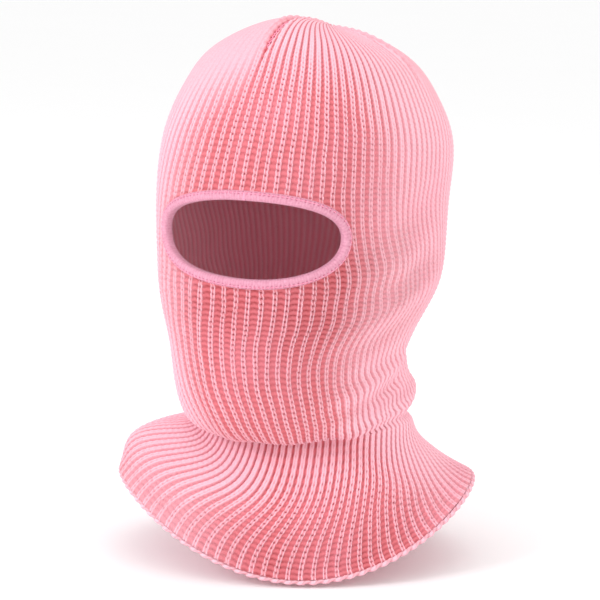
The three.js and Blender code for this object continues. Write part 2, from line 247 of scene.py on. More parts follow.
def rib_angle(rib, at):
    """The angle of a rib: even angles at the closing point, even arcs lower down, and there
    drawn apart in front by a sine, swung sideways and let wander."""
    even = rib / RIBS + FIRST_SEAM / 360
    spread = np.interp(at, EASED_PLACES, EASED_SPREAD)
    share = even + spread / TURN * np.sin(TURN * (even - SPREAD_MIDDLE / 360))
    share = share + np.interp(at, EASED_PLACES, EASED_SWING)
    share = share + sideways_waves(share, at)
    row = np.clip(at * ARC_ROWS, 0, LAST * ARC_ROWS - 1e-6)
    low = np.floor(row).astype(int)
    whole = np.floor(share)
    step = (share - whole) * ARC_STEPS
    left = np.clip(np.floor(step).astype(int), 0, ARC_STEPS - 1)
    part, mixed = step - left, row - low

    def look(r):
        return ARC_TABLE[r, left] * (1 - part) + ARC_TABLE[r, left + 1] * part

    arc = look(low) * (1 - mixed) + look(np.minimum(low + 1, LAST * ARC_ROWS)) * mixed
    arc = arc + TURN * whole
    blend = np.clip(at / ROUND_SMOOTH, 0, 1)
    blend = blend * blend * (3 - 2 * blend)
    return TURN * share * (1 - blend) + arc * blend


def course_places():
    """Places along the lines of every mesh row, so that rows are even in mean length."""
    places = np.linspace(0, LAST, LAST * 40 + 1)
    angles = np.linspace(0, TURN, 24, endpoint=False)
    grid = outer(angles[None, :], places[:, None])
    step = np.linalg.norm(np.diff(grid, axis=0), axis=-1).mean(1)
    run = np.concatenate([[0], np.cumsum(step)])
    courses = int(round(run[-1] / COURSE))
    rows = np.linspace(0, run[-1], courses * COURSE_ROWS + 1)
    return np.interp(rows, run, places), courses


ROW_AT, COURSES = course_places()


def wander(u, v, size, count=5):
    """A smooth field made of a few sines of random direction, from about -1 to 1."""
    total = 0
    for _ in range(count):
        way, phase = rng.uniform(0, TURN, 2)
        speed = size * rng.uniform(0.6, 1.5)
        total = total + np.sin(speed * (u * math.cos(way) + v * math.sin(way)) + phase)
    return total / math.sqrt(count * 2)


STRAND = 0.5             # radius of one strand of tight cloth
CORD = 0.235             # and of slack cloth, in pitches
APART = 0.95             # from a rib's middle to a strand's in tight cloth, at most
APART_TIGHT, APART_SLACK = 0.19, 0.17  # the same in pitches
DRAWN_PITCH = 5.4        # pitch past which ribs count as drawn apart
SHARP = 7.0              # how sharply the relief's parts meet


def knit_relief(rib, course, pitch, slack):
    """Height and colour fields of 1 x 1 rib. Across a rib, two strands of round section swing
    together and apart once a course, like a chain, with a web between them that opens into a hole
    where they are apart; between ribs lie the bars of the purl side, one a course. Slack cloth
    draws the strands together into a plump cord over a narrow groove."""
    small = np.clip(pitch / 5, 0.15, 1)
    tight = 1 - slack
    drawn = np.clip((pitch - DRAWN_PITCH) / 2, 0, 1)
    d = (rib - np.floor(rib) - 0.5) * pitch
    beat = np.cos(TURN * course)
    strand = small * (STRAND - 0.07 * drawn) * tight + CORD * pitch * slack
    apart = np.minimum(APART, APART_TIGHT * pitch) * tight + APART_SLACK * pitch * slack
    apart = apart + small * (0.03 + 0.13 * tight * (1 - 0.6 * drawn)) * beat
    lean = small * 0.1 * np.sin(TURN * course)
    near = np.minimum(np.abs(d + apart + lean), np.abs(d - apart + lean))
    chain = np.sqrt(np.maximum(strand**2 - near**2, 0)) * (1 + 0.15 * beat) + 0.35 * small
    chain = np.where(near < strand, chain, -1)
    hole = tight * (np.maximum(beat, 0) ** 3 * (1 - 0.5 * drawn) + 0.35 * drawn)
    inner = np.clip((apart - np.abs(d)) / (0.4 * small), 0, 1)
    web = np.where(inner > 0, small * (0.45 + 0.55 * slack - 1.1 * hole), -1)
    bar = np.abs(np.cos(math.pi * (course + 0.5 + 0.06 * np.abs(d)))) ** 0.8
    trough = small * (0.5 * bar - 0.5 - 0.2 * slack)
    height = np.exp(SHARP * chain) + np.exp(SHARP * web) + np.exp(SHARP * trough)
    # painted shade: the colour field pale falls off from the strand crests into the trough and is
    # darker over the holes
    pale = np.exp(-(near / (0.8 * strand)) ** 2)
    pale = np.maximum(pale, inner * (0.45 + 0.4 * slack - 0.6 * hole))
    # painted shade: the colour field bar darkens between the purl bars and in troughs where the
    # ribs are drawn apart
    bar = 1 - (1 - bar) * (0.45 + 0.45 * drawn) - 0.3 * drawn
    return np.log(height) / SHARP, pale, bar


FOLDS = [  # from (degrees, height) to (degrees, height), width and rise
    ((-16, -34), (-10, -112), 7, 1.8),
    ((66, 8), (76, -34), 6, 1.3),
    ((84, 10), (86, -40), 8, -1.0),
    ((57, -96), (92, -81), 5, 3.2),
    ((62, -105), (86, -94), 4, -2.4),
    ((48, -116), (70, -107), 5, 2.6),
    ((88, -107), (114, -100), 6, 4.6),
    ((98, -84), (116, -78), 5, -1.6),
    ((-80, -60), (-60, -100), 8, -1.8),
    ((-100, -96), (-72, -106), 6, 2.6),
    ((150, -84), (215, -88), 8, 2.4),
    ((148, -102), (214, -104), 6, -2.0),
    ((20, -128), (70, -150), 9, 1.8),
    ((-60, -130), (-95, -150), 8, 1.8),
]


FOLD_DEGREE = 1.4        # millimetres round the hood in a degree


def folds(angle, z):
    """The soft folds: each is a ridge or valley of bell section along a straight line."""
    total = 0
    for (a0, z0), (a1, z1), width, rise in FOLDS:
        along = np.array([(a1 - a0) * FOLD_DEGREE, z1 - z0])
        length = np.linalg.norm(along)
        along = along / length
        x = (wrapped(angle - math.radians(a0)) * 180 / math.pi) * FOLD_DEGREE
        y = z - z0
        run = x * along[0] + y * along[1]
        off = x * -along[1] + y * along[0]
        past = np.maximum(np.maximum(-run, run - length), 0)
        total = total + rise * np.exp(-(off / width) ** 2 - (past / (2 * width)) ** 2)
    return total


# ---- the opening for the eyes ----

def opening_edge(share):
    """The inner edge of the binding as (arc, height): a superellipse, flatter on top."""
    power = 2 / OPENING_SQUARE
    c, s = np.cos(TURN * share), np.sin(TURN * share)
    arc = OPENING_ARC * np.sign(c) * np.abs(c) ** power
    reach = np.where(s > 0, OPENING_UP, OPENING_DOWN)
    return np.stack([arc, reach * np.sign(s) * np.abs(s) ** power], -1)


def even_edge(count):
    """The edge at even steps of its length, and the direction away from the opening."""
    raw = opening_edge(np.linspace(0, 1, 1441))
    run = np.concatenate([[0], np.cumsum(np.linalg.norm(np.diff(raw, axis=0), axis=-1))])
    share = np.linspace(0, run[-1], count + 1)[:-1]
    points = np.stack([np.interp(share, run, raw[:, k]) for k in (0, 1)], -1)
    reach = max(1, count // 100)
    along = unit(np.roll(points, -reach, 0) - np.roll(points, reach, 0))
    return points, np.stack([along[:, 1], -along[:, 0]], -1), run[-1]


CHART_ANGLES = np.linspace(-1.3, 1.3, 521)
_chart = outer(CHART_ANGLES, EYE_LINE)
CHART_ARC = np.concatenate([[0], np.cumsum(np.linalg.norm(np.diff(_chart, axis=0), axis=-1))])
CHART_ARC -= np.interp(0, CHART_ANGLES, CHART_ARC)


def on_face(arc, height, lift):
    """A point of the face from its arc round the head and its height, by bisection."""
    angle = np.interp(arc, CHART_ARC, CHART_ANGLES)
    above, below = np.full_like(angle, 3.5), np.full_like(angle, 8.0)
    for _ in range(30):
        middle = (above + below) / 2
        high = outer(angle, middle)[..., 2] > height
        above, below = np.where(high, middle, above), np.where(high, below, middle)
    return over(angle, (above + below) / 2, lift)


def edge_distance(angle, z):
    """Distance outwards from the opening's edge in the face chart, negative inside."""
    arc = np.interp(angle, CHART_ANGLES, CHART_ARC)
    reach = np.where(z > 0, OPENING_UP, OPENING_DOWN)
    size = (np.abs(arc) / OPENING_ARC) ** OPENING_SQUARE + (np.abs(z) / reach) ** OPENING_SQUARE
    size = size ** (1 / OPENING_SQUARE)
    slope = np.hypot(np.abs(arc) / OPENING_ARC**2, np.abs(z) / reach**2) / np.maximum(size, 1e-6)
    return (size - 1) / np.maximum(slope, 1e-6)


# ---- meshes ----

def new_piece(name, points, quads, triangles=(), uv=None, fields=None, normals=None):
    """A mesh piece from points in the frame, four-cornered and three-cornered faces."""
    quads = np.asarray(quads, np.int32).reshape(-1, 4)
    triangles = np.asarray(triangles, np.int32).reshape(-1, 3)
    used = np.zeros(len(points), bool)
    used[quads.ravel()] = True
    used[triangles.ravel()] = True
    place = np.cumsum(used) - 1
    corners = place[np.concatenate([quads.ravel(), triangles.ravel()])].astype(np.int32)
    sizes = np.concatenate([np.full(len(quads), 4), np.full(len(triangles), 3)])
    mesh = bpy.data.meshes.new(name)
    mesh.vertices.add(int(used.sum()))
    mesh.vertices.foreach_set("co", points[used].astype(np.float32).ravel())
    mesh.loops.add(len(corners))
    mesh.loops.foreach_set("vertex_index", corners)
    mesh.polygons.add(len(sizes))
    starts = np.concatenate([[0], np.cumsum(sizes)[:-1]]).astype(np.int32)
    mesh.polygons.foreach_set("loop_start", starts)
    mesh.polygons.foreach_set("use_smooth", np.ones(len(sizes), bool))
    mesh.update(calc_edges=True)
    if uv is not None:
        layer = mesh.uv_layers.new(name="OFBake")
        layer.data.foreach_set("uv", uv[used][corners].astype(np.float32).ravel())
    for field, values in (fields or {}).items():
        layer = mesh.attributes.new(field, "FLOAT", "POINT")
        layer.data.foreach_set("value", values[used].astype(np.float32))
    if normals is not None:
        mesh.normals_split_custom_set_from_vertices(normals[used])
    mesh.validate()
    piece = bpy.data.objects.new(name, mesh)
    bpy.context.scene.collection.objects.link(piece)
    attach(piece, "root")
    return piece


def grid_quads(rows, columns, wrap_rows=False, wrap_columns=False):
    """Faces of a grid of points; down the rows crossed with along the columns is outwards."""
    index = np.arange(rows * columns).reshape(rows, columns)
    if wrap_rows:
        index = np.concatenate([index, index[:1]], 0)
    if wrap_columns:
        index = np.concatenate([index, index[:, :1]], 1)
    return np.stack([index[:-1, :-1], index[1:, :-1], index[1:, 1:], index[:-1, 1:]], -1)


def fan(tip, ring):
    """Three-cornered faces from one point to each pair of neighbours along a row."""
    return np.stack([np.full(len(ring) - 1, tip), ring[:-1], ring[1:]], -1)


def end_fans(rows, columns):
    """The two fans that close a tube of grid points, to two more points after the grid's."""
    ring = np.append(np.arange(columns), 0)
    last = fan(rows * columns + 1, (rows - 1) * columns + ring)[:, [0, 2, 1]]
    return np.concatenate([fan(rows * columns, ring), last])


def grid_uv(rows, columns):
    """The grid's own 0 to 1 in both directions, a little inside the edges."""
    u, v = np.meshgrid(np.linspace(0.003, 0.997, columns), np.linspace(0.997, 0.003, rows))
    return np.stack([u, v], -1).reshape(-1, 2)


def grid_normals(points):
    """Vertex directions of a grid from its differences down and along."""
    down = np.gradient(points, axis=0)
    along = np.gradient(points, axis=1)
    return unit(np.cross(down, along))


def swept(name, middles, outs, sides, section, fields, closed=True):
    """A tube along a path: section holds the distances along outs and along sides, as two arrays
    of one row per place of the path and one column per corner of the section."""
    a, b = section
    points = middles[:, None] + outs[:, None] * a[..., None] + sides[:, None] * b[..., None]
    rows, columns = points.shape[:2]
    quads = grid_quads(rows, columns, wrap_rows=closed, wrap_columns=True).reshape(-1, 4)
    flat = in_frame(points.reshape(-1, 3))
    triangles = []
    if not closed:
        flat = np.concatenate([flat, in_frame(middles[[0, -1]])])
        triangles = end_fans(rows, columns)
    fields = {k: np.concatenate([v.ravel(), np.zeros(len(flat) - v.size)])
              for k, v in fields.items()}
    quads, triangles = facing_out(flat, quads, triangles)
    return new_piece(name, flat, quads, triangles, fields=fields)


def facing_out(points, quads, triangles):
    """Turns all faces over if the closed mesh's volume is negative."""
    fans = [quads[:, [0, 1, 2]], quads[:, [0, 2, 3]]]
    if len(triangles):
        fans.append(triangles)
    a, b, c = (points[np.concatenate(fans)[:, k]] for k in range(3))
    if np.einsum("ij,ij->", a, np.cross(b, c)) < 0:
        quads = quads[:, ::-1]
        triangles = triangles[:, ::-1] if len(triangles) else triangles
    return quads, triangles


# ---- materials ----

class Wire:
    """A number in a material's nodes. Sums, differences and products of wires add Math nodes."""

    def __init__(self, finish, socket):
        self.finish, self.socket = finish, socket

    def math(self, operation, *others):
        return self.finish.node("Math", {"operation": operation}, [self, *others])

    def __add__(self, other):
        return self.math("ADD", other)

    def __sub__(self, other):
        return self.math("SUBTRACT", other)

    def __mul__(self, other):
        return self.math("MULTIPLY", other)

    def held(self):
        return self.finish.node("Clamp", {}, [self])


class Finish:
    """A material being wired up, with its one shader."""

    def __init__(self, name, roughness, sheen=0.0, sheen_tint=(1, 1, 1), specular=0.3):
        self.material = bpy.data.materials.new(name)
        self.material.use_nodes = True
        self.tree = self.material.node_tree
        self.shader = self.tree.nodes["Principled BSDF"]
        self.set("Roughness", roughness)
        self.set("Sheen Weight", sheen)
        self.set("Sheen Roughness", 0.4)
        self.set("Sheen Tint", (*sheen_tint, 1))
        self.set("Specular IOR Level", specular)

    def set(self, socket, value):
        if isinstance(value, Wire):
            self.tree.links.new(value.socket, self.shader.inputs[socket])
        else:
            self.shader.inputs[socket].default_value = value

    def node(self, kind, settings, inputs, output=0):
        """Adds a node of a type; inputs go by place in a list or by name in a dict."""
        node = self.tree.nodes.new("ShaderNode" + kind)
        for name, value in settings.items():
            setattr(node, name, value)
        pairs = inputs.items() if isinstance(inputs, dict) else enumerate(inputs)
        for name, value in pairs:
            if isinstance(value, Wire):
                self.tree.links.new(value.socket, node.inputs[name])
            else:
                node.inputs[name].default_value = value
        return Wire(self, node.outputs[output])

    def field(self, name):
        return self.node("Attribute", {"attribute_name": name}, {}, "Fac")

    def place(self):
        return self.node("TexCoord", {}, {}, "Object")

    def noise(self, scale, detail=3.0, rough=0.6):
        return self.node("TexNoise", {}, {
            "Vector": self.place(), "Scale": scale, "Detail": detail, "Roughness": rough,
        }, "Fac")

    def blend(self, factor, low, high):
        """A colour between two colours, each three numbers or a wire."""
        low, high = (c if isinstance(c, Wire) else (*c, 1) for c in (low, high))
        node = self.tree.nodes.new("ShaderNodeMix")
        node.data_type = "RGBA"
        for socket, value in ((0, factor), (6, low), (7, high)):
            if isinstance(value, Wire):
                self.tree.links.new(value.socket, node.inputs[socket])
            else:
                node.inputs[socket].default_value = value
        return Wire(self, node.outputs[2])

    def bump(self, height, depth, strength=0.6):
        return self.node("Bump", {}, {
            "Height": height, "Distance": depth, "Strength": strength,
        }, "Normal")


def tone(r, g, b):
    """A colour in the shader's light from everyday 0 to 255 values."""
    return tuple(((v / 255 + 0.055) / 1.055) ** 2.4 for v in (r, g, b))


def knit_finish():
    """Candy pink yarn with painted shade: coral to dark red in the troughs, pale on the raised
    strands; with fibre fuzz, a soft halo and slow drifts of colour."""
    finish = Finish("knit_yarn", 0.9, sheen=0.2, sheen_tint=tone(255, 220, 226), specular=0.15)
    strand, bar = finish.field("strand"), finish.field("bar")
    fuzz = finish.noise(1400, 3)
    drift = finish.noise(22, 2)
    # painted shade: the troughs' colour, darkest between the purl bars
    trough_shade = finish.blend((bar * 0.75 + fuzz * 0.3).held(), tone(142, 50, 54), tone(230, 126, 134))
    light = finish.blend(fuzz, tone(242, 174, 190), tone(252, 212, 222))
    # the strand field mixes the painted trough shade with the lit strand colour
    height = ((strand - 0.1) * 1.25 + (fuzz - 0.5) * 0.35).held()
    colour = finish.blend(height, trough_shade, light)
    colour = finish.blend((drift - 0.4).held() * 0.5, colour, tone(244, 168, 188))
    finish.set("Base Color", colour)
    finish.set("Normal", finish.bump(fuzz, 0.0006, 0.6))
    return finish.material


def inside_finish():
    """The same yarn on the inner face, paler and plainer, a little painted shade between its ribs.
    """
    finish = Finish("knit_inside", 0.95, sheen=0.2, specular=0.1)
    strand = finish.field("strand")
    fuzz = finish.noise(900, 3)
    shade = (strand * 0.7 + fuzz * 0.4).held()
    finish.set("Base Color", finish.blend(shade, tone(246, 160, 176), tone(255, 208, 218)))
    finish.set("Normal", finish.bump(fuzz, 0.0006, 0.5))
    return finish.material


def binding_finish():
    """Fine knitted tape in a cooler pink, with a hair-fine rib across it and painted shade between
    the ribs and between the coverstitch loops.
    """
    finish = Finish("binding_tape", 0.75, sheen=0.25, sheen_tint=tone(255, 224, 238), specular=0.25)
    rib = finish.field("rib")
    fuzz = finish.noise(700, 3)
    shade = (rib * 0.8 + (fuzz - 0.45) * 0.9).held()
    colour = finish.blend(shade, tone(176, 92, 118), tone(228, 170, 190))
    finish.set("Base Color", colour)
    finish.set("Normal", finish.bump(fuzz, 0.0003, 0.4))
    return finish.material


def thread_finish():
    """Spun sewing thread, with painted shade between its turns."""
    finish = Finish("sewing_thread", 0.55, sheen=0.15, specular=0.4)
    ply = finish.field("ply")
    fuzz = finish.noise(2500, 2)
    finish.set("Base Color", finish.blend(
        (ply * 0.9 + fuzz * 0.2).held(), tone(214, 92, 128), tone(250, 172, 196)))
    finish.set("Normal", finish.bump(fuzz, 0.0002, 0.4))
    return finish.material


def label_finish():
    """Blank woven satin: fine ribs across the tape."""
    finish = Finish("satin_label", 0.4, sheen=0.1, specular=0.5)
    weave = finish.node("TexWave", {"bands_direction": "Z"}, {
        "Vector": finish.place(), "Scale": 900.0, "Distortion": 0.6, "Detail": 2.0,
    }, "Fac")
    finish.set("Base Color", finish.blend(weave, tone(224, 220, 214), tone(248, 246, 242)))
    finish.set("Normal", finish.bump(weave, 0.0001, 0.4))
    return finish.material


def floor_finish():
    """Matt near-white, with hardly any grain."""
    finish = Finish("pale_floor", 0.9, specular=0.1)
    grain = finish.noise(3, 2)
    finish.set("Base Color", finish.blend(grain, (0.97, 0.97, 0.97), (0.98, 0.98, 0.98)))
    return finish.material


# ---- the knitted hood ----

BIB_PLACE = 11.3         # where along the lines the bib's pieces begin
FACE_PLACE = 3.6         # where the crown's gores end
GORE = 25                # ribs in a gore of the crown
GORES = [(0, 25, "left"), (25, 50, "back"), (50, 75, "right"), (75, 100, "front")]
PANELS = [(17, 40, "left"), (40, 63, "back"), (63, 86, "right"), (86, 117, "front")]
CUT_IN = 2.2             # how far under the binding the cloth is cut
DRAWN_MIDDLE, BIB_MIDDLE = 15, 35  # degrees, where the face and the bib are drawn tightest


def cloth_state(angle, at, pitch):
    """How slack the cloth is, 0 to 1, and how much of the painted shade in its troughs is lifted
    towards the sides: tight in front, slack where the ribs are close or well to the side."""
    bib = np.clip((at - 11.5) / 1.5, 0, 1)
    middle = DRAWN_MIDDLE + (BIB_MIDDLE - DRAWN_MIDDLE) * bib
    away = np.abs(np.degrees(wrapped(angle - np.radians(middle))))
    aside = np.clip((away - 22) / 32, 0, 1)
    slack = np.clip((5.3 - pitch) / 1.6 + aside * 0.95, 0, 1)
    return slack, 0.4 * aside * (1 - np.clip((away - 85) / 45, 0, 1))


def hood_grid():
    """The whole outside at full detail: points, directions and fields of the relief."""
    columns = np.arange(RIBS * RIB_COLUMNS + 1) / RIB_COLUMNS
    rows = np.arange(1, len(ROW_AT)) / COURSE_ROWS
    rib, course = np.meshgrid(columns, rows)
    at = np.broadcast_to(ROW_AT[1:, None], rib.shape)
    angle = rib_angle(rib, at)
    base = outer(angle, at)
    step = np.linalg.norm(np.diff(base, axis=1), axis=-1)
    pitch = np.concatenate([step, step[:, :1]], 1) * RIB_COLUMNS
    pitch = pitch_smooth(pitch)
    slack, trough_shade_lift = cloth_state(angle, at, pitch)
    sway = 0.07 * wander(rib * 0.9, course * 0.35, 2.0)
    uneven = course + 0.10 * wander(rib * 3.1, course * 0.3, 1.3)
    height, strand, bar = knit_relief(rib + sway * np.sin(math.pi * rib) ** 2, uneven, pitch, slack)
    from_edge = edge_distance(wrapped(angle), base[..., 2])
    front = np.cos(angle) > 0.2
    pressed = np.where(front, np.clip((from_edge - BAND + 1.5) / 3, 0, 1), 1)
    seam = seam_valley(rib, at, course)
    hem = np.clip((COURSES - course) / 2, 0.3, 1)
    plain = plain_gores(rib, at)
    crown = 1 - np.clip((at - 0.5) / 3.2, 0, 1)
    lift = (height - 1.1) * (0.35 + 0.65 * pressed) * hem * plain * (1 - 0.45 * crown) - seam
    lift = lift + folds(angle, base[..., 2]) * pressed
    lift = lift + 0.5 * wander(base[..., 0] / 30, base[..., 2] / 30 + base[..., 1] / 40, 1.4)
    points = base + outward(angle, at) * lift[..., None]
    points[:, -1] = points[:, 0]
    points = in_frame(points)
    keep = ~(front & (from_edge < CUT_IN))
    normals = grid_normals(points)
    normals[:, -1] = normals[:, 0] = unit(normals[:, -1] + normals[:, 0])
    # the strand colour field: painted trough shade lifted on the sides, and painted shade next to
    # the binding where the cloth is pressed
    strand = (1 - (1 - strand) * (1 - trough_shade_lift)) * (0.4 + 0.6 * pressed)
    plain = plain * (1 - 0.5 * crown)
    # colour held even in the smooth gores and near the crown; painted shade in the seam valleys
    strand = (strand * plain + 0.68 * (1 - plain)) * (1 - 0.8 * np.clip(seam - 0.6, 0, 1))
    return points, normals, strand, bar, keep


def pitch_smooth(pitch):
    """Averages the rib pitch over one rib, so that it doesn't jump inside it."""
    wide = np.concatenate([pitch[:, -RIB_COLUMNS:], pitch, pitch[:, :RIB_COLUMNS]], 1)
    total = np.cumsum(wide, 1)
    mean = (total[:, RIB_COLUMNS:] - total[:, :-RIB_COLUMNS]) / RIB_COLUMNS
    start = RIB_COLUMNS // 2
    return mean[:, start:start + pitch.shape[1]]


def wrapped(angle):
    """An angle brought to between minus and plus half a turn."""
    return (angle + math.pi) % TURN - math.pi


def plain_gores(rib, at):
    """How much of the rib shows, 0 to 1: every second gore of the crown is pulled nearly smooth
    at its top and the ribs come back further down."""
    gore = np.mod(rib, 2 * GORE)
    smooth = np.clip((gore - GORE) / 1.2, 0, 1) * np.clip((2 * GORE - gore) / 1.2, 0, 1)
    middle = 1 - np.abs(gore - 1.5 * GORE) / (GORE / 2)
    shown = np.clip((at - 2.2 - 0.9 * middle) / 1.7, 0, 1)
    shown = shown * shown * (3 - 2 * shown)
    return 1 - smooth * (1 - shown) * 0.88


def seam_valley(rib, at, course):
    """The crown's four seams: narrow valleys down the middle of a trough, puckered each stitch."""
    off = np.abs((rib + GORE / 2) % GORE - GORE / 2)
    reach = np.clip((2.9 - at) / 0.9, 0, 1)
    pucker = 1 + 0.35 * np.cos(TURN * course / 2)
    wide = np.clip(0.9 / np.clip(at, 0.3, 3), 0.42, 1.8)
    valley = 2.7 * np.exp(-(off / wide) ** 2) - 0.9 * np.exp(-((off - 2.2 * wide) / wide) ** 2)
    return reach * pucker * valley


def ring_pieces(grid, finish):
    """The hood cut into gores, sides and bib panels along its troughs."""
    crown = int(np.searchsorted(ROW_AT[1:], FACE_PLACE))
    bib = int(np.searchsorted(ROW_AT[1:], BIB_PLACE))
    end = len(grid[0]) - 1
    rings = (
        (0, crown, GORES, "crown_gore"), (crown, bib, PANELS, "head"), (bib, end, PANELS, "bib"),
    )
    for first, last, cut, stem in rings:
        rows = np.arange(first, last + 1)
        for low, high, side in cut:
            columns = np.arange(low * RIB_COLUMNS, high * RIB_COLUMNS + 1) % (RIBS * RIB_COLUMNS)
            piece = hood_piece(f"{stem}_{side}", grid, rows, columns)
            piece.data.materials.append(finish)


def hood_piece(name, grid, rows, columns):
    """One panel: a window of the hood's grid, without the faces inside the opening, and closed
    with a fan where it reaches the closing point."""
    window = np.ix_(rows, columns)
    points, normals, strand, bar, keep = (field[window] for field in grid)
    inside = keep[:-1, :-1] & keep[1:, :-1] & keep[1:, 1:] & keep[:-1, 1:]
    quads = grid_quads(*keep.shape)[inside]
    flat, ways, uv = points.reshape(-1, 3), normals.reshape(-1, 3), grid_uv(*keep.shape)
    strand, bar = strand.ravel(), bar.ravel()
    triangles = []
    if rows[0] == 0:
        flat = np.concatenate([flat, in_frame(over(0.0, 0.0, -1.5)[None])])
        ways = np.concatenate([ways, [[0, 0, 1]]])
        uv = np.concatenate([uv, [[0.5, 0.999]]])
        strand, bar = np.append(strand, 0.5), np.append(bar, 0.5)
        triangles = fan(len(flat) - 1, np.arange(len(columns)))
    piece = new_piece(name, flat, quads, triangles, uv, {"strand": strand, "bar": bar}, ways)
    at = ROW_AT[1:][rows][:, None]
    rib = np.where(columns < columns[0], columns + RIBS * RIB_COLUMNS, columns) / RIB_COLUMNS
    smooth = in_frame(outer(rib_angle(rib[None, :] + 0 * at, at + 0 * rib[None, :]), at))
    declare_cloth(smooth, keep)
    return piece


def declare_cloth(points, keep):
    """Measures a panel by the grid of its cloth without the ribs: its steps across and down and
    its own area, outside the opening; then hides the hood_knit part."""
    across = np.linalg.norm(np.diff(points, axis=1), axis=-1)
    down = np.linalg.norm(np.diff(points, axis=0), axis=-1)
    area = (across[:-1] * down[:, :-1] * keep[:-1, :-1]).sum()
    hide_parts("hood_knit")


def hood_inside(finish):
    """The inner face of the cloth in two rings, with its own shallow ribs."""
    columns = np.arange(RIBS * 4) / 4
    places = ROW_AT[1::2]
    split = int(np.searchsorted(places, 7.5))
    for name, rows in (("inside_head", slice(0, split + 1)), ("inside_bib", slice(split, None))):
        rib, at = np.meshgrid(columns, places[rows])
        angle = rib_angle(rib, at)
        base = outer(angle, at)
        wave = np.cos(TURN * rib) * np.clip(at, 0.1, 1)
        distance = edge_distance(wrapped(angle), base[..., 2])
        keep = ~((np.cos(angle) > 0.2) & (distance < CUT_IN))
        lift = -WALL + 0.35 * wave + folds(angle, base[..., 2]) * np.clip((distance - 5) / 4, 0, 1)
        points = in_frame(base + outward(angle, at) * lift[..., None])
        quads = grid_quads(*rib.shape, wrap_columns=True)
        kept = np.concatenate([keep, keep[:, :1]], 1)
        live = kept[:-1, :-1] & kept[1:, :-1] & kept[1:, 1:] & kept[:-1, 1:]
        quads = quads[live][:, ::-1]
        flat = points.reshape(-1, 3)
        triangles = []
        if name == "inside_head":
            flat = np.concatenate([flat, in_frame(over(0.0, 0.0, -WALL)[None])])
            ring = np.append(np.arange(rib.shape[1]), 0)
            triangles = fan(len(flat) - 1, ring)[:, [0, 2, 1]]
        # painted shade: paler on the inner ribs' crests, darker between them
        strand = np.append(np.clip(0.5 - 0.5 * wave, 0, 1).ravel(), 0.5)[:len(flat)]
        bar = np.full(len(flat), 0.6)
        piece = new_piece(name, flat, quads, triangles, fields={"strand": strand, "bar": bar})
        piece.data.materials.append(finish)
        declare_cloth(points, keep)


# ---- the binding of the eye opening ----

def round_edge(count, distance, lift):
    """Points at even steps round the opening, a distance out from its edge and a lift over the
    cloth; distance and lift have one row per step."""
    edge, away, _ = even_edge(count)
    place = edge[:, None] + away[:, None] * distance[..., None]
    return on_face(place[..., 0], place[..., 1], lift)


def binding(finish):
    """A tape folded over the cut edge: its section is a flat C of soft cloth, fat at the fold,
    crossed by fine ribs, with a coverstitch of small loops along the outer margin."""
    count, corners = 1600, 30
    turn = TURN * np.arange(corners) / corners
    step = np.arange(count)[:, None]
    _, _, length = even_edge(count)
    rib = np.abs(np.sin(math.pi * step * length / count / 1.6))
    loops = np.abs(np.sin(math.pi * step * length / count / 2.4))
    c, s = np.cos(turn)[None], np.sin(turn)[None]
    depth = WALL / 2 + 1.25
    distance = BAND / 2 * (1 - np.sign(c) * np.abs(c) ** 0.8) + 0.25 * (1 - c) / 2
    upper = np.clip(s, 0, 1) ** 0.5
    margin = np.exp(-((distance - 4.3) / 0.75) ** 2) * (s > 0)
    swell = 0.25 * np.exp(-((distance - 2.0) / 1.4) ** 2)
    lift = -WALL / 2 + depth * np.sign(s) * np.abs(s) ** 0.55 + swell * (s > 0)
    lift = lift + 0.06 * rib * upper + margin * (0.8 * loops - 0.55)
    lift = lift - 0.5 * np.clip((distance - 4.9) / 0.8, 0, 1) * (s > 0)
    distance = distance + 0 * step
    points = round_edge(count, distance, lift)
    flat = in_frame(points.reshape(-1, 3))
    quads = grid_quads(count, corners, wrap_rows=True, wrap_columns=True).reshape(-1, 4)
    quads, _ = facing_out(flat, quads, [])
    # painted shade: darker between the fine ribs and between the loops of the coverstitch
    shade = np.clip(0.6 + 0.2 * rib - margin * (1 - loops) + 0 * distance, 0, 1)
    piece = new_piece("eye_binding_tape", flat, quads, fields={"rib": shade.ravel()})
    piece.data.materials.append(finish)
    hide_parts("eye_binding")


def stitch_ring(finish):
    """The seam thread on the binding: a two-ply rope that dips at every needle hole."""
    _, _, length = even_edge(8)
    stitches = int(round(length / BAND_STITCH))
    count = stitches * 10
    phase = np.arange(count) / 10
    dip = np.abs(np.sin(math.pi * phase))
    distance = np.full((count, 1), BAND - 1.2)
    middles = round_edge(count, distance, 0.75 + 0.45 * dip[:, None])
    tops = round_edge(count, distance, 1.75 + 0.45 * dip[:, None])
    thread("binding_stitching", middles[:, 0], unit(tops - middles)[:, 0], 0.3, phase * 3,
           finish, "eye_binding_stitch")


def thread(name, middles, outs, radius, twist, finish, node, closed=True):
    """A two-ply thread along a path: its section is two lobes that turn with the twist."""
    ahead = np.roll(middles, -1, 0) - np.roll(middles, 1, 0)
    if not closed:
        ahead = np.gradient(middles, axis=0)
    sides = unit(np.cross(unit(ahead), outs))
    turn = TURN * np.arange(8) / 8
    lobe = np.abs(np.cos(turn[None] + math.pi * twist[:, None]))
    size = radius * (0.75 + 0.4 * lobe)
    section = (size * np.cos(turn)[None], size * np.sin(turn)[None])
    piece = swept(name, middles, outs, sides, section, {"ply": lobe}, closed)
    piece.data.materials.append(finish)
    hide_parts(node)


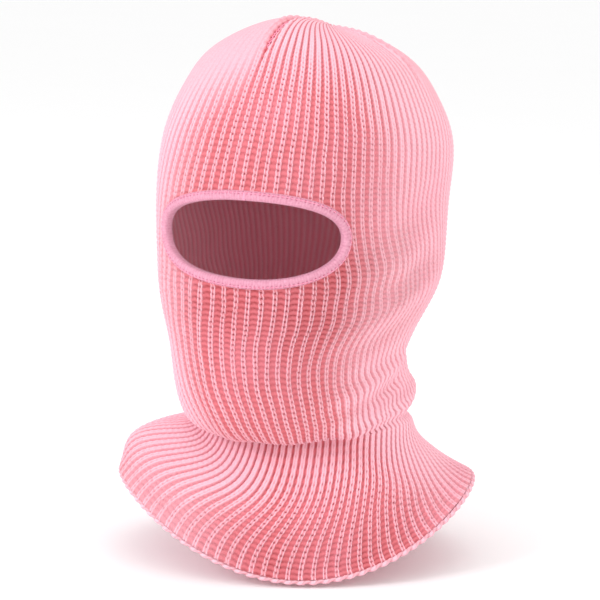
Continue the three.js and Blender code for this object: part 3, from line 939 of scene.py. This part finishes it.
def tack(finish):
    """The bar tack over the binding's ends: a zigzag of thread across the upper edge."""
    count = 120
    step = np.linspace(0, 1, count)
    distance = 0.5 + 3.6 * step
    arc = 0.7 * np.sin(step * TURN * 7)
    middles = on_face(arc, OPENING_UP + distance, np.full(count, 1.25))
    tops = on_face(arc, OPENING_UP + distance, np.full(count, 2.25))
    thread("binding_bar_tack", middles, unit(tops - middles), 0.28, step * 40, finish,
           "eye_binding_tack", closed=False)


# ---- the crown's seams and closing ----

def rib_run(angle, distance):
    """Places along the lines at distances down a rib from the closing point."""
    places = np.linspace(0, 5, 1001)
    line = outer(angle, places)
    run = np.concatenate([[0], np.cumsum(np.linalg.norm(np.diff(line, axis=0), axis=-1))])
    return np.interp(distance, run, places)


def crown_seams(finish):
    """Four rows of linking stitches down the crown's valleys: each is a chain of short bights."""
    for k, side in enumerate(("front", "left", "back", "right")):
        angle = math.radians(FIRST_SEAM) + k * TURN / 4
        distance = np.linspace(TIE_RADIUS + 0.6, SEAM_LENGTH + TIE_RADIUS, 340)
        at = rib_run(angle, distance)
        swing = 0.45 * np.sin(distance * TURN / LINKING_STITCH)
        ring = np.linalg.norm(outer(angle, at) - outer(angle + 0.01, at), axis=-1) / 0.01
        angles = angle + swing / np.maximum(ring, 4)
        dip = 0.4 * np.abs(np.sin(distance * math.pi / LINKING_STITCH))
        fade = np.clip((distance[-1] - distance) / 25, 0, 1)
        lift = dip - 2.0 - 0.4 * (1 - fade)
        middles = over(angles, at, lift)
        thread(f"crown_linking_{side}", middles, outward(angles, at), 0.42, distance * 1.1,
               finish, f"crown_seam_{side}", closed=False)


def crown_tie(finish):
    """The drawn-in rib ends at the closing point: a low button with radial folds."""
    rings, spokes = 26, 200
    turn = TURN * np.arange(spokes) / spokes
    share = np.linspace(0.02, 1, rings)[:, None]
    ribs = np.abs(np.sin(turn * 12.5))[None] ** 0.7
    dome = np.sqrt(np.maximum(1 - share**2, 0))
    dimple = 0.9 * np.exp(-(share / 0.16) ** 2)
    lift = 0.9 * dome - 0.9 + 0.35 * ribs * share * (1.2 - share) * 2 - dimple
    lift[-1] = -2.4
    radius = TIE_RADIUS * share * (1 + 0.07 * ribs * share)
    middle = outer(0.0, 0.0)
    flat = np.stack([
        middle[0] + radius * np.sin(turn), middle[1] - radius * np.cos(turn),
        middle[2] + lift + 0.06 * radius * np.cos(turn),
    ], -1)
    surface = in_frame(np.concatenate([flat.reshape(-1, 3), [middle + [0, 0, 0.5]],
                                       [middle - [0, 0, 2.6]]]))
    quads = grid_quads(rings, spokes, wrap_columns=True).reshape(-1, 4)
    quads, triangles = facing_out(surface, quads, end_fans(rings, spokes))
    # painted shade: darker in the radial folds between the gathered ribs
    ply = np.append(ribs.repeat(rings, 0).ravel(), [0.3, 0.3])
    piece = new_piece("crown_gather", surface, quads, triangles,
                      fields={"strand": ply, "bar": ply})
    piece.data.materials.append(finish)
    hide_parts("crown_tie")


# ---- the hem and the label ----

def hem(finish):
    """The cast-on edge: a cord that swells at every rib, wound with its bights of yarn."""
    count = RIBS * RIB_COLUMNS
    rib = np.arange(count) / RIB_COLUMNS
    at = np.full(count, float(LAST))
    angle = rib_angle(rib, at)
    out = outward(angle, at)
    ahead = unit(np.roll(outer(angle, at), -1, 0) - np.roll(outer(angle, at), 1, 0))
    down = unit(np.cross(ahead, out))
    below = outer(angle, at - 0.05) - outer(angle, at)
    down = down * -np.sign((down * below).sum(-1, keepdims=True))
    swell = 0.5 - 0.5 * np.cos(TURN * rib)
    middle = over(angle, at, -WALL / 2) + down * (HEM_CORD * 0.4 + 0.6 * swell)[:, None]
    turn = TURN * np.arange(16) / 16
    lobes = np.abs(np.cos(turn[None] + math.pi * rib[:, None] * 2))
    size = (HEM_CORD - 0.55 + 0.2 * swell)[:, None] + 0.2 * lobes
    section = (size * 1.1 * np.cos(turn)[None], size * np.sin(turn)[None])
    # painted shade: the cord is darker where it narrows between ribs and between its bights
    fields = {"strand": 0.35 + 0.4 * swell[:, None] + 0.3 * lobes, "bar": lobes}
    piece = swept("hem_cast_on", middle, out, down, section, fields)
    piece.data.materials.append(finish)
    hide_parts("hem_edge")


def under_back(sideways, rise, lift):
    """A place under the back of the bib, from its middle line and its height above the hem."""
    places = np.linspace(LAST, LAST - 3, 601)
    line = outer(math.pi, places)
    run = np.concatenate([[0], np.cumsum(np.linalg.norm(np.diff(line, axis=0), axis=-1))])
    at = np.interp(rise, run, places)
    middle = outer(math.pi, at)
    angle = math.pi - sideways / np.hypot(middle[..., 0], middle[..., 1])
    return over(angle, at, lift)


def label(finish, sewing):
    """A blank satin tape, turned under at both ends, and its one row of stitches."""
    rows, columns = 60, 40
    rise = LABEL_LIFT + LABEL[1] * np.linspace(0, 1, rows)[:, None]
    side = LABEL[0] * (np.linspace(0, 1, columns)[None] - 0.5)
    curl = 0.35 * np.sin(TURN * (rise - LABEL_LIFT) / LABEL[1] * 1.5) * (side / LABEL[0] * 2) ** 2
    fold = 0.3 * np.exp(-((rise - LABEL_LIFT) / 2) ** 2)
    faces = []
    for lift in (-WALL - 0.5, -WALL - 1.0):
        faces.append(under_back(side + 0 * rise, rise + 0 * side, lift - curl - fold + 0 * side))
    points = np.concatenate([faces[0], faces[1][:, ::-1]], 1)
    flat = in_frame(points.reshape(-1, 3))
    quads = grid_quads(rows, 2 * columns, wrap_columns=True).reshape(-1, 4)
    c = np.arange(columns - 1)
    ends = []
    for row, flip in ((0, False), (rows - 1, True)):
        start = row * 2 * columns
        face = np.stack([start + c, start + c + 1, start + 2 * columns - 2 - c,
                         start + 2 * columns - 1 - c], -1)
        ends.append(face[:, ::-1] if flip else face)
    quads = np.concatenate([quads, *ends])
    quads, _ = facing_out(flat, quads, [])
    piece = new_piece("blank_label", flat, quads)
    piece.data.materials.append(finish)
    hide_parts("care_label")
    step = np.linspace(0, 1, 200)
    across = (LABEL[0] - 1) * (step - 0.5)
    line = LABEL_LIFT + LABEL[1] - 2
    lift = -WALL - 1.35 + 0.3 * np.abs(np.sin(math.pi * across / LABEL_STITCH))
    middles = under_back(across, np.full(200, line), lift)
    tops = under_back(across, np.full(200, line), lift - 1)
    thread("label_stitching", middles, unit(tops - middles), 0.25, step * 40, sewing,
           "label_stitch", closed=False)


# ---- camera, floor and light ----

def camera():
    """Looks at the hood from the front and a little from the wearer's left, slightly above."""
    azimuth, elevation, roll, distance = 20.0, 9.2, 1.5, 1.4
    aim = Vector((0, 0, -0.04))
    a, e = math.radians(azimuth), math.radians(elevation)
    back = Vector((math.sin(a) * math.cos(e), -math.cos(a) * math.cos(e), math.sin(e)))
    eye = bpy.data.objects.new("camera", bpy.data.cameras.new("camera"))
    bpy.context.scene.collection.objects.link(eye)
    eye.location = aim + back * distance
    eye.rotation_mode = "QUATERNION"
    turned = Quaternion((0, 0, 1), math.radians(roll))
    eye.rotation_quaternion = (-back).to_track_quat("-Z", "Y") @ turned
    eye.data.lens, eye.data.sensor_width = 140.7, 36
    eye.data.shift_y = -0.0255
    bpy.context.scene.camera = eye


def lamp(name, place, size, power, colour=(1, 1, 1)):
    """A square soft lamp that looks at the origin."""
    data = bpy.data.lights.new(name, "AREA")
    data.size, data.energy, data.color = size, power, colour
    light = bpy.data.objects.new(name, data)
    bpy.context.scene.collection.objects.link(light)
    light.location = place
    light.rotation_mode = "QUATERNION"
    light.rotation_quaternion = Vector(place).to_track_quat("Z", "Y")


FLOOR_REACH = 40         # metres from the middle to the floor's edges
FLOOR_GAP = 0.002        # metres from the floor up to the hem
FLOOR_POINTS = 41        # along each edge


def studio():
    """A wide pale floor, a bright even world and three soft lamps."""
    line = np.linspace(-FLOOR_REACH, FLOOR_REACH, FLOOR_POINTS)
    x, y = np.meshgrid(line, line[::-1])
    points = np.stack([x, y, np.full_like(x, cad_low.z - FLOOR_GAP)], -1).reshape(-1, 3)
    floor = new_piece("floor", points, grid_quads(FLOOR_POINTS, FLOOR_POINTS).reshape(-1, 4))
    floor.data.materials.append(floor_finish())
    world = bpy.data.worlds.new("studio")
    bpy.context.scene.world = world
    world.use_nodes = True
    world.node_tree.nodes["Background"].inputs["Color"].default_value = (1, 1, 1, 1)
    world.node_tree.nodes["Background"].inputs["Strength"].default_value = 1.0
    lamp("key", (-1.0, -1.4, 0.8), 0.7, 15, (1, 0.95, 1))
    lamp("fill", (1.3, -0.9, 0.5), 1.2, 5, (1, 0.94, 0.88))
    lamp("top", (0.1, 0.5, 1.5), 1.2, 3)


camera()
studio()
bpy.context.scene.view_settings.view_transform = "Standard"
yarn, tape, sewing, satin = knit_finish(), binding_finish(), thread_finish(), label_finish()
ring_pieces(hood_grid(), yarn)
hood_inside(inside_finish())
binding(tape)
stitch_ring(sewing)
tack(sewing)
crown_seams(sewing)
crown_tie(yarn)
hem(yarn)
label(satin, sewing)
